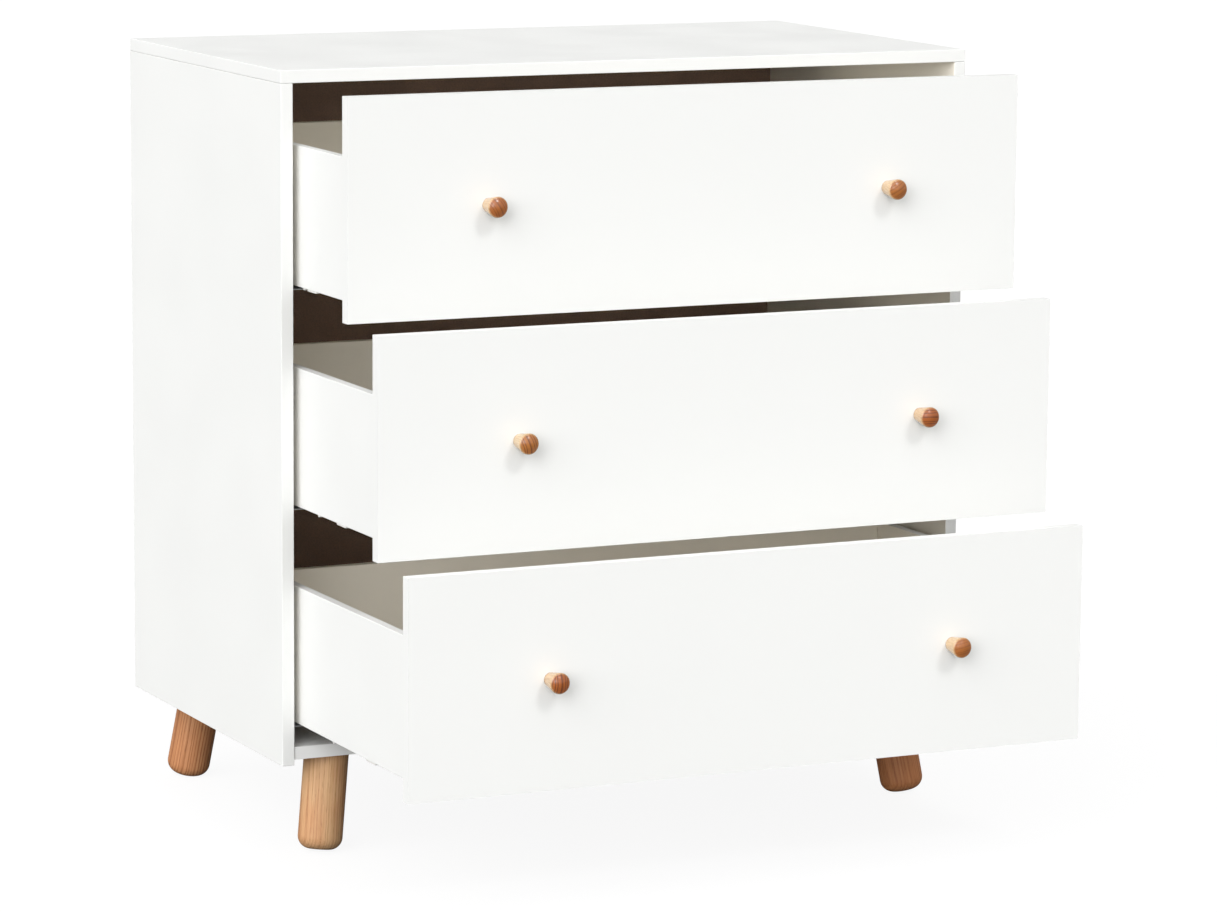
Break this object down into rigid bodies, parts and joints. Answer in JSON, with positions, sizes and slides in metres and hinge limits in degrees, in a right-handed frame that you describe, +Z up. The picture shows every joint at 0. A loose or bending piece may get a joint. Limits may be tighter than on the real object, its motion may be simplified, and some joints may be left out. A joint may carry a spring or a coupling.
{
  "type": "chest of drawers",
  "caption": "Low white chest of drawers with inset drawer fronts, turned wooden knobs and splayed turned wooden legs; the drawers slide on concealed runners.",
  "frame": {"origin": "centre of the bounding box on the floor, with the drawers standing open as stored", "axes": "+Z up, +X to the right seen from the front, -Y out of the drawer fronts"},
  "size_m": [0.96, 0.924, 0.991],
  "materials": {
    "white_lacquer": "satin white lacquer on board",
    "lining_foil": "matt light foil on board",
    "brown_fibreboard": "raw pressed fibreboard, matt",
    "turned_oak": "oiled solid wood",
    "zinc_steel": "bright zinc plate",
    "grey_plastic": "moulded, matt"
  },
  "bodies": {
    "carcass": {"left_side_panel": "white_lacquer", "right_side_panel": "white_lacquer", "top_panel": "white_lacquer", "bottom_panel": "white_lacquer", "back_panel": "brown_fibreboard", "front_left_leg": "turned_oak", "front_left_leg_bolt": "zinc_steel", "front_right_leg": "turned_oak", "front_right_leg_bolt": "zinc_steel", "rear_left_leg": "turned_oak", "rear_left_leg_bolt": "zinc_steel", "rear_right_leg": "turned_oak", "rear_right_leg_bolt": "zinc_steel", "top_left_cabinet_runner": "zinc_steel", "top_right_cabinet_runner": "zinc_steel", "middle_left_cabinet_runner": "zinc_steel", "middle_right_cabinet_runner": "zinc_steel", "bottom_left_cabinet_runner": "zinc_steel", "bottom_right_cabinet_runner": "zinc_steel"},
    "top_drawer": {"top_drawer_front": "white_lacquer", "top_drawer_left_side": "white_lacquer", "top_drawer_right_side": "white_lacquer", "top_drawer_back": "lining_foil", "top_drawer_bottom": "lining_foil", "top_left_drawer_runner": "zinc_steel", "top_left_runner_catch": "grey_plastic", "top_left_knob": "turned_oak", "top_left_knob_screw": "zinc_steel", "top_right_drawer_runner": "zinc_steel", "top_right_runner_catch": "grey_plastic", "top_right_knob": "turned_oak", "top_right_knob_screw": "zinc_steel"},
    "middle_drawer": {"middle_drawer_front": "white_lacquer", "middle_drawer_left_side": "white_lacquer", "middle_drawer_right_side": "white_lacquer", "middle_drawer_back": "lining_foil", "middle_drawer_bottom": "lining_foil", "middle_left_drawer_runner": "zinc_steel", "middle_left_runner_catch": "grey_plastic", "middle_left_knob": "turned_oak", "middle_left_knob_screw": "zinc_steel", "middle_right_drawer_runner": "zinc_steel", "middle_right_runner_catch": "grey_plastic", "middle_right_knob": "turned_oak", "middle_right_knob_screw": "zinc_steel"},
    "bottom_drawer": {"bottom_drawer_front": "white_lacquer", "bottom_drawer_left_side": "white_lacquer", "bottom_drawer_right_side": "white_lacquer", "bottom_drawer_back": "lining_foil", "bottom_drawer_bottom": "lining_foil", "bottom_left_drawer_runner": "zinc_steel", "bottom_left_runner_catch": "grey_plastic", "bottom_left_knob": "turned_oak", "bottom_left_knob_screw": "zinc_steel", "bottom_right_drawer_runner": "zinc_steel", "bottom_right_runner_catch": "grey_plastic", "bottom_right_knob": "turned_oak", "bottom_right_knob_screw": "zinc_steel"}
  },
  "joints": [
    {"name": "top_drawer_slide", "type": "slide", "parent": "carcass", "child": "top_drawer", "axis": [0, -1, 0], "range_m": [-0.169, 0.226]},
    {"name": "middle_drawer_slide", "type": "slide", "parent": "carcass", "child": "middle_drawer", "axis": [0, -1, 0], "range_m": [-0.263, 0.132]},
    {"name": "bottom_drawer_slide", "type": "slide", "parent": "carcass", "child": "bottom_drawer", "axis": [0, -1, 0], "range_m": [-0.356, 0.039]}
  ]
}
